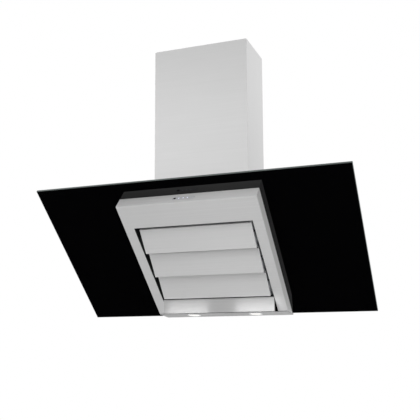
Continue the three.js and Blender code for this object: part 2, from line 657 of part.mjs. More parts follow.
const bladeInner = impellerRadius - bladeDepth;
const wheelHalf = impellerLength / 2;
const hubRadius = 10;
const blade = block(-wheelHalf + 1, wheelHalf - 1, bladeInner, impellerRadius - 0.5, -0.6, 0.6);
const blades = Array.from({ length: bladeCount }, (_, i) => blade.clone()
  .rotateX(2 * Math.PI * i / bladeCount));
const discX = wheelHalf - 3;
const impeller = cut(join(
  rodX(impellerRadius, discX, wheelHalf, 0, 0, 48),
  cut(rodX(impellerRadius, -wheelHalf, -wheelHalf + 3, 0, 0, 48),
    rodX(bladeInner, -wheelHalf - 1, -wheelHalf + 4, 0, 0, 48)),
  rodX(hubRadius, discX - 18, wheelHalf, 0, 0, 20), ...blades),
rodX(shaftRadius + 0.1, discX - 30, wheelHalf + 1, 0, 0, 16));
add(hood, 'impeller', impeller.translate(0, blowerY, blowerZ), blackPlastic);

const bracketIn = scrollHalf + scrollSheet + seat;
const motorFront = bracketIn + 2 + seat;
add(hood, 'motor_shaft', rodX(shaftRadius, discX - 22, motorFront + 6, blowerY, blowerZ, 16), galvanised);
add(hood, 'motor_bracket', cut(
  rodX(motorPlateRadius + 6, bracketIn, bracketIn + 2, blowerY, blowerZ, 36),
  rodX(12, bracketIn - 1, bracketIn + 3, blowerY, blowerZ, 24),
  ...[0, 1, 2].map((i) => rodX(10, bracketIn - 1, bracketIn + 3,
    blowerY + 28 * Math.cos(2 * Math.PI * i / 3), blowerZ + 28 * Math.sin(2 * Math.PI * i / 3), 16))),
galvanised);
add(hood, 'blower_motor', cut(join(
  rodX(motorRadius, motorFront, motorFront + motorLength, blowerY, blowerZ, 36),
  rodX(16, motorFront + motorLength - 1, motorFront + motorLength + 8, blowerY, blowerZ, 24)),
rodX(shaftRadius + play, motorFront - 1, motorFront + 8, blowerY, blowerZ, 16)), aluminium);

// ---------------------------------------------------------------- electronics
const boxLow = -housingHalf + sheet + seat;
const boxWidth = 74;
const boxTop = housingTop - sheet - seat;
const boxRear = housingRear - sheet - seat;
const boxDeep = 96;
const boxHigh = 46;
const boxWall = 1.6;
add(hood, 'electronics_box', cut(
  block(boxLow, boxLow + boxWidth, boxRear - boxDeep, boxRear, boxTop - boxHigh, boxTop),
  block(boxLow + boxWall, boxLow + boxWidth - boxWall, boxRear - boxDeep + boxWall, boxRear - boxWall,
    boxTop - boxHigh - 1, boxTop - boxWall)), whitePlastic);
const capacitorRadius = 17;
const capacitorLength = 88;
const capacitorGap = 5;                          // to the housing's walls
add(hood, 'run_capacitor', rodZ(capacitorRadius, housingHalf - sheet - capacitorGap - capacitorRadius,
  boxRear - capacitorGap - capacitorRadius, boxTop - capacitorLength, boxTop, 24), whitePlastic);
const glandReach = 8;                            // above and below the housing's top
const glandHead = 5;
const cableBore = 4;
add(hood, 'cable_gland', cut(join(
  rodZ(cableRadius, cableX, chimneyMiddle, housingTop - glandReach, housingTop + glandReach, 16),
  rodZ(cableRadius + 4, cableX, chimneyMiddle, housingTop + seat, housingTop + glandHead, 6)),
rodZ(cableBore, cableX, chimneyMiddle, housingTop - glandReach - 1, housingTop + glandReach + 1, 12)),
blackPlastic);

// ---------------------------------------------------------------- outlet collar and non-return flaps
const collarLow = housingTop + seat;
const spindleZ = collarLow + 24;
const spindleRadius = 2;
const barrelRadius = 4;
const flapRest = 12;                             // degrees above level, closed
const flapSheet = 1;
const flapGap = 1.4;
const stopWidth = 12;
const stopTop = (angle, reach) => spindleZ + reach * Math.sin(angle) - 1.5;
const collarStops = [-1, 1].map((side) => {
  const reach = collarInner - 4;
  const top = stopTop(radians(flapRest), reach);
  return block(-stopWidth / 2, stopWidth / 2, chimneyMiddle + side * reach,
    chimneyMiddle + side * (collarInner + 0.5), top - 4, top);
});
const collarFlange = 7;
add(hood, 'outlet_collar', cut(join(
  tubeZ(ductRadius, collarInner, 0, chimneyMiddle, collarLow, collarLow + collarHeight, 48),
  tubeZ(ductRadius + collarFlange, collarInner, 0, chimneyMiddle, collarLow, collarLow + 2, 48),
  ...collarStops),
rodX(spindleRadius + 0.2, -ductRadius - 5, ductRadius + 5, chimneyMiddle, spindleZ, 12)), blackPlastic);
add(hood, 'flap_spindle', rodX(spindleRadius, -ductRadius, ductRadius, chimneyMiddle, spindleZ, 12),
  galvanised);

// A half disc with barrels on every other quarter of the spindle; the front flap is the rear
// one turned round, so that their barrels interleave.
const flapRadius = collarInner - flapGap;
const barrelSpan = (2 * flapRadius - 16) / 4;
function flapGeometry(side) {
  const straight = barrelRadius + 1;
  const disc = new THREE.Shape();
  const start = Math.asin(straight / flapRadius);
  disc.absarc(0, 0, flapRadius, start, Math.PI - start);
  disc.closePath();
  const spans = [1, 3].map((i) => {
    const x0 = -2 * barrelSpan + i * barrelSpan + 0.6;
    return [x0, x0 + barrelSpan - 1.2];
  });
  const flap = cut(join(alongZ(disc, -flapSheet / 2, flapSheet / 2, 24),
    ...spans.map(([x0, x1]) => join(
      rodX(barrelRadius, x0, x1, 0, 0, 12), block(x0, x1, 0, straight + 1, -flapSheet / 2, flapSheet / 2)))),
  rodX(spindleRadius + play, -flapRadius, flapRadius, 0, 0, 12));
  return side < 0 ? flap.rotateZ(Math.PI) : flap;
}
for (const [flapName, side] of [['front', -1], ['rear', 1]]) {
  const flap = add(hood, `flap_${flapName}`, flapGeometry(side), aluminium);
  flap.position.set(0, chimneyMiddle, spindleZ);
  flap.rotation.x = side * radians(flapRest);
}

// ---------------------------------------------------------------- lower chimney and lower frame
// A sleeve open at both ends.
function sleeve(width, depth, middle, z0, z1) {
  return cut(block(-width / 2, width / 2, middle - depth / 2, middle + depth / 2, z0, z1),
    block(-width / 2 + sheet, width / 2 - sheet, middle - depth / 2 + sheet, middle + depth / 2 - sheet,
      z0 - 1, z1 + 1));
}
const chimneyLow = housingTop + seat;
const chimneyHigh = hoodHeight - ceilingGap;
add(hood, 'chimney_lower', sleeve(chimneyWidth, chimneyDepth, chimneyMiddle, chimneyLow, chimneyHigh),
  chimneySteel);

const innerWidth = chimneyWidth - 2 * (sheet + chimneyPlay);
const innerDepth = chimneyDepth - 2 * (sheet + chimneyPlay);
const upperPostX = innerWidth / 2 - sheet - seat;
const upperPostY = innerDepth / 2 - sheet - seat;
const lowerPostX = upperPostX - postSheet - postPlay;
const lowerPostY = upperPostY - postSheet - postPlay;
const corners = sides.flatMap(([, x]) => sides.map(([, y]) => [x, y]));
const frameFoot = 3;
const footTop = chimneyLow + frameFoot;
const lowerPostTop = hoodHeight - plateThickness - 8;
const upperPostLow = footTop + 6;
const slotHalf = screwRadius + play;
const screwAbove = 24;                           // clamping screw above the upper post's end
const slotLow = upperPostLow + screwAbove - 6;
const slotHigh = slotLow + heightTravel + 12;

// An angle post with its corner at (x, y), its legs turned inwards.
function post(x, y, z0, z1) {
  const [outX, outY] = [Math.sign(x), Math.sign(y)];
  return join(
    block(x, x - outX * postLeg, y, y - outY * postSheet, z0, z1),
    block(x, x - outX * postSheet, y, y - outY * postLeg, z0, z1));
}

add(hood, 'frame_foot', cut(
  block(-lowerPostX, lowerPostX, chimneyMiddle - lowerPostY, chimneyMiddle + lowerPostY,
    chimneyLow, footTop),
  rodZ(ductRadius + collarFlange + 1, 0, chimneyMiddle, chimneyLow - 1, footTop + 1, 40),
  rodZ(cableRadius + 6, cableX, chimneyMiddle, chimneyLow - 1, footTop + 1, 16)), galvanised);

const legMiddle = postLeg / 2 + postSheet / 2;
corners.forEach(([outX, outY], i) => {
  const lower = post(outX * lowerPostX, outY * lowerPostY, footTop + seat, lowerPostTop);
  lower.translate(0, chimneyMiddle, 0);
  const slotX = outX * (lowerPostX - legMiddle);
  const slotY = chimneyMiddle + outY * lowerPostY;
  add(hood, `lower_post_${i + 1}`, cut(lower,
    block(slotX - slotHalf, slotX + slotHalf, slotY - 5, slotY + 5, slotLow, slotHigh)), galvanised);
});

// ---------------------------------------------------------------- ceiling plate, upper frame and chimney
const plateHalfX = innerWidth / 2 - sheet - seat;
const plateHalfY = innerDepth / 2 - sheet - seat;
const anchorX = plateHalfX - 30;
const anchorY = plateHalfY - 12;
const anchorRadius = 4;
const ductHole = ductRadius + ductClearance;
const plateLip = 14;
const lipHalf = plateHalfX - postLeg - 10;
add(ceiling, 'ceiling_plate', cut(join(
  block(-plateHalfX, plateHalfX, -plateHalfY, plateHalfY, -plateThickness, 0),
  ...[-1, 1].map((side) => block(-lipHalf, lipHalf, side * plateHalfY,
    side * (plateHalfY - postSheet), -plateLip, 0))),
rodZ(ductHole, 0, 0, -10, 5, 48),
...corners.map(([x, y]) => rodZ(anchorRadius, x * anchorX, y * anchorY, -10, 5, 16))), galvanised);

const ceilingToFoot = upperPostLow - hoodHeight;
// Each upper post has a headed guide stud in the slot of its lower post.
const studHead = 2.6;
const studHeadRadius = 5.4;
corners.forEach(([outX, outY], i) => {
  const x = outX * (lowerPostX - legMiddle);
  const z = ceilingToFoot + screwAbove;
  const inner = outY * (lowerPostY - postSheet - seat);
  add(ceiling, `upper_post_${i + 1}`, join(
    post(outX * upperPostX, outY * upperPostY, ceilingToFoot, -plateThickness - seat),
    rodY(screwRadius, x, outY * (upperPostY - postSheet / 2), inner - outY, z, 12),
    rodY(studHeadRadius, x, inner, inner - outY * studHead, z, 16)), galvanised);
});

const sleeveClearance = 8;                       // upper chimney's end above the housing
add(ceiling, 'chimney_upper',
  sleeve(innerWidth, innerDepth, 0, chimneyLow + sleeveClearance - hoodHeight, 0), chimneySteel);

export default assembly;
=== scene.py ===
"""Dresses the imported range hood: finished pieces, materials, soft studio light and a camera."""

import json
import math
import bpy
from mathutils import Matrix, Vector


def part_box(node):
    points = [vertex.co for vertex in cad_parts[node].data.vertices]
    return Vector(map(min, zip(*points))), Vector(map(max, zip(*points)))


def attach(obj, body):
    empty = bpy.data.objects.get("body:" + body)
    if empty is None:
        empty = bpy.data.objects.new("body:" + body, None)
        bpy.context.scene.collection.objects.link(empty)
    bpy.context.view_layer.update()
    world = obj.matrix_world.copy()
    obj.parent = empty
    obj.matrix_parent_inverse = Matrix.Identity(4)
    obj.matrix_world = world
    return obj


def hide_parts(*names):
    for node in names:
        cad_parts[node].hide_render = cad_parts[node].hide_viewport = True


bl_info = {
    "name": "Island Range Hood",
    "version": (1, 0, 0),
    "blender": (4, 5, 0),
    "location": "View3D > Sidebar > Range Hood",
    "description": "Builds the finished pieces of a ceiling-hung range hood around its packed part",
    "category": "Object",
}

import bmesh
import bpy
from bpy.props import FloatProperty, FloatVectorProperty, PointerProperty
from mathutils import Matrix, Vector

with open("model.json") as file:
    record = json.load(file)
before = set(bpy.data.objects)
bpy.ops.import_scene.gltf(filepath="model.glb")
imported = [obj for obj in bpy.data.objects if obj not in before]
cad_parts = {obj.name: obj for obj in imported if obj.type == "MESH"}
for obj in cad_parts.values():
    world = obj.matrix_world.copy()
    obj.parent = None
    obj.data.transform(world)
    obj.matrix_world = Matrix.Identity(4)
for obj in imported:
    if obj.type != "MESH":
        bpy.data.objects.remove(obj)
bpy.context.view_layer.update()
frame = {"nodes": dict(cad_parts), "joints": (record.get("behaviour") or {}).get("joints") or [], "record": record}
JOINTS = {joint["name"]: joint for joint in frame["joints"]}
MM = 0.001
DEGREE = math.radians(1)
TOUCHING = 1e-6                   # points this near to each other, or to a cut, are one
ON_MIDDLE = 1e-7                  # a point this near to a middle line lies on it

# ---------------------------------------------------------------- frames
# The glass leans: its slope direction is the filter latch's slide axis.
SLOPE = Vector(JOINTS["latch_slide"]["axis"])
LEAN = math.atan2(-SLOPE.y, SLOPE.z)
GLASS_LOW, GLASS_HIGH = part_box("glass_panel")
GLASS_THICKNESS = 6 * MM
GLASS_LENGTH = (GLASS_HIGH.z - GLASS_LOW.z - GLASS_THICKNESS * math.sin(LEAN)) / math.cos(LEAN)
# Hood frame: origin at the middle of the glass's lowest front edge, axes as the room's.
HOOD = Matrix.Translation((0, GLASS_HIGH.y - GLASS_THICKNESS * math.cos(LEAN), GLASS_LOW.z))
# Leaning frame: X along the glass, Y from its front face to the rear, Z up its slope.
LEANING = HOOD @ Matrix.Rotation(LEAN, 4, "X")
# Each slat stands open by its hinge's whole travel, and closes parallel to the casing's front.
DEFLECTOR_OPEN = JOINTS["deflector_hinge"]["range_deg"][1] * DEGREE

# ---------------------------------------------------------------- sizes
# Glass cutout, in the leaning frame.
CUTOUT_HALF = 181 * MM
CUTOUT_LOW = 78 * MM
CUTOUT_HIGH = 440 * MM
# Casing, in the leaning frame.
SHEET = 1.2 * MM
THIN_SHEET = 1.0 * MM             # louvres and deflector
FOLD_ANGLE = 35 * DEGREE          # an edge of a sheet sharper than this is a fold
CASING_HALF = 202 * MM
CASING_LOW = -60 * MM             # below the lamp panel, along which the foot is cut off
CASING_TOP = 454 * MM
CASING_FRONT = -36 * MM
CASING_REAR = -0.3 * MM
CASING_FLANGE = 17 * MM
OPENING_HALF = 173 * MM
OPENING_TOP = 376 * MM
STUD_X = 192.8 * MM
STUD_HEIGHTS = (140 * MM, 378 * MM)
STUD_RADIUS = 2.5 * MM
STUD_LENGTH = 17 * MM
# Trays, from their hinges: half length, lower edge, upper edge and front face.
LOUVRE_TRAY = (164.8 * MM, -50.15 * MM, 27.2 * MM, -4.5 * MM)
DEFLECTOR_TRAY = (171.1 * MM, -43.8 * MM, -2.5 * MM, -4 * MM)
TRAY_DEPTH = 8 * MM
# Controls in the casing's top wall.
CONTROL_X = -6 * MM
CONTROL_Y = -18.5 * MM
CONTROL_CELL = 40 * MM            # half width of the piece of wall that the slot is cut in
CONTROL_STRAIGHT = 24.5 * MM      # half of the slot's straight part
SLOT_RADIUS = 7.8 * MM
WINDOW_RADIUS = 7.5 * MM
WINDOW_THICKNESS = 2.4 * MM
WINDOW_PROUD = 0.2 * MM
WINDOW_ARRIS = 0.4 * MM
KEY_PITCH = 12.4 * MM
# Lamp panel: it closes the casing's foot and falls from its front edge to its rear edge.
LIP = 42 * MM                     # the casing's front ends this far up the slope
PANEL_REAR = 6 * MM               # lamp panel's rear edge, in the hood frame
PANEL_FALL = 7 * MM
PANEL_UPTURN = 9 * MM
PANEL_FOLD = 0.5 * MM
PANEL_SEAT = 1.5 * MM             # the casing ends this far above the panel's lower side
FRONT_Y = -LIP * math.sin(LEAN) + CASING_FRONT * math.cos(LEAN)
FRONT_Z = LIP * math.cos(LEAN) + CASING_FRONT * math.sin(LEAN)
PANEL_ANGLE = math.atan2(-PANEL_FALL, PANEL_REAR - FRONT_Y)
PANEL_LENGTH = math.hypot(PANEL_FALL, PANEL_REAR - FRONT_Y)
PANEL = HOOD @ Matrix.Translation((0, FRONT_Y, FRONT_Z)) @ Matrix.Rotation(PANEL_ANGLE, 4, "X")
LAMP_X = 98 * MM
LAMP_SETBACK = 23 * MM
LAMP_CELL = 20 * MM               # half width of the piece of panel that a lamp's hole is cut in
LAMP_HOLE = 16.9 * MM
# Turned pieces, in millimetres: a profile's radii and heights, from the panel's lower side, and
# the radii of the marks in the control window.
BEZEL_PROFILE = ((17.1, -1.6), (17.7, -1.8), (19.6, -1.6), (20.7, -0.9), (21, -0.35), (17.1, -0.35),
                 (17.1, -1.6))
LENS_PROFILE = ((0, -1.75), (6, -1.72), (12, -1.6), (16, -1.25), (16.7, -0.4), (15, 0.9), (15, 2),
                (13.5, 2), (13.5, 1), (0, 1))
KEY_RADIUS = 1.7
DISPLAY_RADIUS = 3.6
# Chimney and service cover.
CHIMNEY_FOLD = 1.8 * MM
CHIMNEY_ARRIS = 0.3 * MM
COVER_FOLD = 0.4 * MM
VENT_COUNT = 9
VENT_PITCH = 22 * MM
VENT_WIDTH = 6 * MM
VENT_INSET = 48 * MM              # slot's end to the service cover's edge
HOLE_COLLAR = 3 * MM              # even ring of faces around a hole's rim

# ---------------------------------------------------------------- stage, in metres and watts
CAMERA_PLACE = (0.7214, -1.9537, -0.8766)
CAMERA_YAW = 20.284 * DEGREE
CAMERA_PITCH = 8.322 * DEGREE
CAMERA_ROLL = -0.294 * DEGREE
CAMERA_LENS = 62.36
CAMERA_SHIFT = 0.08
ROOM_LIGHT = 0.8                  # strength of the white room's own light
FLOOR_REACH = 6                   # from the middle to each edge
FLAG_LIFT = 0.01                  # the black cloth lies this far above the floor
# Name, place, the point it faces, width, height and power.
SOFTBOXES = (
    ("left", (-2.4, -1.2, -0.6), (0, 0, -0.4), 1.2, 1.6, 8),
    ("right", (2.6, -0.2, 0.9), (0, 0, -0.4), 0.8, 0.8, 3.5),
    ("front", (-0.45, -2.2, -0.25), (0, 0, -0.6), 0.8, 0.5, 1.5),
    ("overhead", (-0.45, -1.9, 0.3), (0, 0, -0.6), 0.8, 0.5, 3.2),
)
# The lamps' own spill on the deflector: a low wide light in front of it, outside each lamp.
SPILL_X = 1.12 * LAMP_X
SPILL_Y = -135 * MM
SPILL_Z = 2 * MM
SPILL_WIDTH = 130 * MM
SPILL_HEIGHT = 10 * MM
SPILL_POWER = 0.0145
SPILL_AIM = Vector((0, 1, 0.12))
SPILL_SPREAD = 120 * DEGREE


def linear(colour):
    """The linear RGBA of an sRGB hex colour such as "C4C5C7"."""
    channels = [int(colour[i:i + 2], 16) / 255 for i in (0, 2, 4)]
    return tuple(c / 12.92 if c <= 0.04045 else ((c + 0.055) / 1.055) ** 2.4 for c in channels) + (1.0,)


# ---------------------------------------------------------------- sizes a user may change
class GlassSizes(bpy.types.PropertyGroup):
    arris: FloatProperty(name="Arris", description="Width of the ground and polished edge of the glass",
                         default=1.2 * MM, min=0.1 * MM, subtype="DISTANCE", unit="LENGTH")
    tint: FloatVectorProperty(name="Tint", description="Colour of the glass over its black enamel",
                              default=linear("040405")[:3], min=0, max=1, subtype="COLOR")


class SteelSizes(bpy.types.PropertyGroup):
    fold: FloatProperty(name="Fold radius", description="Outside radius of the casing's folded edges",
                        default=1.0 * MM, min=0.2 * MM, subtype="DISTANCE", unit="LENGTH")
    louvre_fold: FloatProperty(name="Louvre fold radius",
                               description="Outside radius of the louvres' folded edges",
                               default=1.0 * MM, min=0.2 * MM, subtype="DISTANCE", unit="LENGTH")
    colour: FloatVectorProperty(name="Steel colour", description="Reflection colour of the stainless sheet",
                                default=linear("E1E1E1")[:3], min=0, max=1, subtype="COLOR")
    brushing: FloatProperty(name="Brushing", description="How far the brushed lines spread reflections",
                            default=0.9, min=0, max=1, subtype="FACTOR")
    roughness: FloatProperty(name="Roughness", description="Roughness of the brushed surface",
                             default=0.56, min=0, max=1, subtype="FACTOR")


class StageSettings(bpy.types.PropertyGroup):
    room_height: FloatProperty(name="Room height", description="Ceiling to floor",
                               default=2.4, min=1, subtype="DISTANCE", unit="LENGTH")
    flag_x: FloatProperty(name="Flag X", description="Middle of the black cloth on the floor",
                          default=-0.78, subtype="DISTANCE", unit="LENGTH")
    flag_y: FloatProperty(name="Flag Y", description="Middle of the black cloth on the floor",
                          default=-0.17, subtype="DISTANCE", unit="LENGTH")
    flag_width: FloatProperty(name="Flag width", description="Width of the black cloth",
                              default=2.15, subtype="DISTANCE", unit="LENGTH")
    flag_depth: FloatProperty(name="Flag depth", description="Depth of the black cloth",
                              default=0.9, subtype="DISTANCE", unit="LENGTH")
    backdrop: FloatVectorProperty(name="Backdrop", description="Colour of the floor and of what lies beyond",
                                  default=(1, 1, 1), min=0, max=1, subtype="COLOR")


# ---------------------------------------------------------------- mesh helpers
def finished(name, bm, body, finishes, replaced=(), matrix=None, modifiers=()):
    """Turns bm into a piece that rides on body and stands for the replaced nodes.

    matrix takes it from the frame it was modelled in to the room's.
    """
    if matrix is not None:
        bmesh.ops.transform(bm, matrix=matrix, verts=bm.verts)
    mesh = bpy.data.meshes.new(name)
    bm.to_mesh(mesh)
    bm.free()
    piece = bpy.data.objects.new(name, mesh)
    bpy.context.scene.collection.objects.link(piece)
    for finish in finishes:
        mesh.materials.append(material(finish))
    for kind, settings in modifiers:
        modifier = piece.modifiers.new(kind.title(), kind)
        for key, value in settings.items():
            setattr(modifier, key, value)
    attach(piece, body)
    if replaced:
        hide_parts(*replaced)
    return piece


def sheet_metal(thickness, fold):
    """Modifiers that give a modelled outer skin its thickness inwards and rounded folds."""
    return (
        ("SOLIDIFY", {"thickness": thickness, "offset": -1, "use_even_offset": True,
                      "use_quality_normals": True}),
        ("BEVEL", {"width": fold, "segments": 3, "limit_method": "ANGLE", "angle_limit": FOLD_ANGLE,
                   "miter_outer": "MITER_ARC", "harden_normals": True}),
    )


def lattice(bm, xs, zs, skip=(), y=0.0):
    """A sheet facing -Y, split at xs and zs, without the (column, row) cells in skip."""
    columns, rows = len(xs) - 1, len(zs) - 1
    verts = bmesh.ops.create_grid(bm, x_segments=columns, y_segments=rows, size=0.5)["verts"]
    cells = {}
    for face in {f for v in verts for f in v.link_faces}:
        centre = face.calc_center_median()
        cells[int((centre.x + 0.5) * columns), int((centre.y + 0.5) * rows)] = face
    for vert in verts:
        column, row = round((vert.co.x + 0.5) * columns), round((vert.co.y + 0.5) * rows)
        vert.co = (xs[column], y, zs[row])
    bmesh.ops.delete(bm, geom=[cells.pop(cell) for cell in skip], context="FACES")
    return cells


def boundary(bm, test):
    """Open edges whose middle passes the test."""
    return [e for e in bm.edges if e.is_boundary and test((e.verts[0].co + e.verts[1].co) / 2)]


def fold_back(bm, edges, move):
    """Extrudes edges and places each new vertex at move(place)."""
    made = bmesh.ops.extrude_edge_only(bm, edges=edges)["geom"]
    for vert in (g for g in made if isinstance(g, bmesh.types.BMVert)):
        vert.co = move(vert.co.copy())


def thicken(bm, move):
    """Makes a flat sheet a closed slab: a copy of it moves by `move`, and sides join the two."""
    made = bmesh.ops.extrude_face_region(bm, geom=bm.faces[:])["geom"]
    bmesh.ops.translate(bm, vec=move, verts=[g for g in made if isinstance(g, bmesh.types.BMVert)])
    bmesh.ops.recalc_face_normals(bm, faces=bm.faces)


def rims(bm):
    """The edges between a slab's flat faces and its sides."""
    return [e for e in bm.edges if e.calc_face_angle(0) > 1]


def bevelled(bm, edges, width, segments=2):
    """Rounds the edges; returns the new faces."""
    return bmesh.ops.bevel(bm, geom=edges, offset=width, segments=segments, affect="EDGES", profile=0.5,
                           material=-1)["faces"]


def round_ended(bm, centre, radius, half_length, segments, turn=Matrix(), cap_ends=False):
    """A ring of vertices: a circle whose halves move apart along X by half_length each."""
    ring = bmesh.ops.create_circle(bm, cap_ends=cap_ends, segments=segments, radius=radius,
                                   matrix=Matrix.Translation(centre) @ turn)["verts"]
    for vert in ring:
        vert.co.x += half_length if vert.co.x >= centre[0] - ON_MIDDLE else -half_length
    return ring


def round_hole(bm, face, centre, radius, half_length=0.0, segments=32):
    """Opens a round-ended hole in a flat face; half_length stretches it along X.

    A collar of even quads lies around the rim, so that a bevel runs round it cleanly.
    """
    face.normal_update()
    normal = face.normal.copy()
    sides = list(face.edges)
    bmesh.ops.delete(bm, geom=[face], context="FACES_ONLY")
    turn = Vector((0, 0, 1)).rotation_difference(normal).to_matrix().to_4x4()
    rings = []
    for ring_radius in (radius, radius + HOLE_COLLAR):
        ring = round_ended(bm, centre, ring_radius, half_length, segments, turn)
        rings.append(list({e for v in ring for e in v.link_edges}))
    bmesh.ops.bridge_loops(bm, edges=rings[0] + rings[1])
    bmesh.ops.triangle_fill(bm, use_beauty=True, edges=sides + rings[1], normal=normal)


def face_front(bm, direction=Vector((0, -1, 0))):
    """Makes the sheet's outer side the one that its furthest face along `direction` shows."""
    bmesh.ops.recalc_face_normals(bm, faces=bm.faces)
    # Of faces that are equally far, the largest one decides.
    front = max(bm.faces, key=lambda f: f.calc_center_median().dot(direction) + f.calc_area() * 1e-6)
    if front.normal.dot(direction) < 0:
        bmesh.ops.reverse_faces(bm, faces=bm.faces)


def pin(bm, radius, length, matrix, chamfer=0.4 * MM, segments=24):
    """A chamfered round pin along Z from the matrix's origin."""
    middle = matrix @ Matrix.Translation((0, 0, length / 2))
    made = bmesh.ops.create_cone(bm, cap_ends=True, segments=segments, radius1=radius, radius2=radius,
                                 depth=length, matrix=middle)["verts"]
    ends = {e for v in made for e in v.link_edges
            if len(e.link_faces) == 2 and any(len(f.verts) > 4 for f in e.link_faces)}
    bevelled(bm, list(ends), chamfer)


def turned(bm, profile, matrix, segments=64):
    """A full turn about Z of a profile in millimetres, closed where it meets itself."""
    before = set(bm.verts)
    verts = [bmesh.ops.create_vert(bm, co=(r * MM, 0, h * MM))["vert"][0] for r, h in profile]
    edges = [bm.edges.new(pair) for pair in zip(verts, verts[1:])]
    bmesh.ops.spin(bm, geom=verts + edges, cent=(0, 0, 0), axis=(0, 0, 1), angle=2 * math.pi,
                   steps=segments, use_merge=True, use_duplicate=False)
    made = [v for v in bm.verts if v not in before]
    bmesh.ops.remove_doubles(bm, verts=made, dist=TOUCHING)
    made = [v for v in bm.verts if v not in before]
    bmesh.ops.recalc_face_normals(bm, faces=list({f for v in made for f in v.link_faces}))
    bmesh.ops.transform(bm, matrix=matrix, verts=made)


def shaded_smooth(bm):
    """Every face smooth."""
    for face in bm.faces:
        face.smooth = True


# ---------------------------------------------------------------- materials
def node(tree, kind, inputs=None, **settings):
    """Adds a node; an input's value is a number, a colour or the socket that feeds it."""
    made = tree.nodes.new(kind)
    for name, value in settings.items():
        setattr(made, name, value)
    for name, value in (inputs or {}).items():
        if isinstance(value, bpy.types.NodeSocket):
            tree.links.new(value, made.inputs[name])
        else:
            made.inputs[name].default_value = value
    return made


def blank(name, **surface):
    """A new material with a Principled surface, its tree and that shader."""
    finish = bpy.data.materials.new(name)
    finish.use_nodes = True
    tree = finish.node_tree
    shader = tree.nodes["Principled BSDF"]
    for key, value in surface.items():
        shader.inputs[key.replace("_", " ")].default_value = value
    return finish, tree, shader


def grain(tree, turn, size, detail=2.0):
    """Noise in Object coordinates whose grains measure `size` (x, y, z), after a turn about X."""
    place = node(tree, "ShaderNodeTexCoord")
    turned_place = node(tree, "ShaderNodeMapping", {"Vector": place.outputs["Object"],
                                                     "Rotation": (turn, 0, 0)})
    scaled = node(tree, "ShaderNodeMapping", {"Vector": turned_place.outputs["Vector"],
                                              "Scale": tuple(1 / s for s in size)})
    return node(tree, "ShaderNodeTexNoise", {"Vector": scaled.outputs["Vector"], "Scale": 1.0,
                                             "Detail": detail}).outputs["Fac"]


def two_tones(tree, factor, dark, light):
    """The colour between two sRGB hex colours at the factor."""
    return node(tree, "ShaderNodeMix", {"Factor": factor, 6: linear(dark), 7: linear(light)},
                data_type="RGBA").outputs[2]


def brushed_stainless(name, turn, brush, colour=None, contrast=1.0, rolled=None):
    """Stainless sheet, linished with a belt: fine lines along the brush, and slow drifts of tone.

    brush is the axis (0, 1, 2) that the lines follow, after a turn about X. On a sheet that is only
    lightly linished, the mill's own lines along the axis `rolled` still spread the reflections.
    """
    settings = bpy.context.scene.hood_steel
    # A colour given here is a lighter or darker copy of the sheet's own colour: painted light or painted shade on
    # the pieces that take it.
    base = linear(colour)[:3] if colour else tuple(settings.colour)
    rough = settings.roughness
    finish, tree, shader = blank(name, Metallic=0.9, Anisotropic=settings.brushing)
    # The lines spread reflections across themselves: the tangent lies a quarter turn from them.
    spreading = brush if rolled is None else rolled
    line = Matrix.Rotation(-turn, 3, "X") @ Vector([float(axis == spreading) for axis in range(3)])
    along = node(tree, "ShaderNodeCombineXYZ", {0: line.x, 1: line.y, 2: line.z})
    tree.links.new(along.outputs["Vector"], shader.inputs["Tangent"])
    shader.inputs["Anisotropic Rotation"].default_value = 0.25
    # Linishing lines are about 0.1 mm apart; drawn 0.6 mm apart, and again as 4 mm bands, to show.
    fine = [0.6 * MM] * 3
    fine[brush] = 90 * MM
    band = [4 * MM] * 3
    band[brush] = 260 * MM
    lines = grain(tree, turn, fine)
    bands = grain(tree, turn, band, detail=3.0)
    tone = node(tree, "ShaderNodeMapRange", {"Value": bands, "From Min": 0.3, "From Max": 0.7,
                                             "To Min": 1 - 0.025 * contrast, "To Max": 1 + 0.02 * contrast})
    line_tone = node(tree, "ShaderNodeMapRange", {"Value": lines, "From Min": 0.25, "From Max": 0.75,
                                                  "To Min": 1 - 0.03 * contrast,
                                                  "To Max": 1 + 0.025 * contrast})
    both = node(tree, "ShaderNodeMath", {0: tone.outputs["Result"], 1: line_tone.outputs["Result"]},
                operation="MULTIPLY")
    shade = node(tree, "ShaderNodeVectorMath", {0: base, "Scale": both.outputs[0]}, operation="SCALE")
    tree.links.new(shade.outputs["Vector"], shader.inputs["Base Color"])
    roughened = node(tree, "ShaderNodeMapRange", {"Value": lines, "From Min": 0.2, "From Max": 0.8,
                                                  "To Min": rough - 0.05, "To Max": rough + 0.06})
    tree.links.new(roughened.outputs["Result"], shader.inputs["Roughness"])
    bump = node(tree, "ShaderNodeBump", {"Height": lines, "Strength": 0.25, "Distance": 0.01 * MM})
    tree.links.new(bump.outputs["Normal"], shader.inputs["Normal"])
    return finish


def enamelled_glass():
    """Toughened float glass with black enamel fired on its rear: a deep, even, mirror-like black."""
    finish, tree, shader = blank("black_enamelled_float_glass", Roughness=0.015, IOR=1.52)
    tint = tuple(bpy.context.scene.hood_glass.tint)
    haze = grain(tree, 0.0, (60 * MM,) * 3, detail=4.0)
    tone = node(tree, "ShaderNodeMapRange", {"Value": haze, "To Min": 0.85, "To Max": 1.15})
    shade = node(tree, "ShaderNodeVectorMath", {0: tint, "Scale": tone.outputs["Result"]}, operation="SCALE")
    tree.links.new(shade.outputs["Vector"], shader.inputs["Base Color"])
    # Toughening leaves long, shallow waves of a few hundredths of a millimetre.
    waves = grain(tree, 0.0, (180 * MM,) * 3, detail=0.0)
    bump = node(tree, "ShaderNodeBump", {"Height": waves, "Strength": 0.3, "Distance": 0.03 * MM})
    tree.links.new(bump.outputs["Normal"], shader.inputs["Normal"])
    return finish


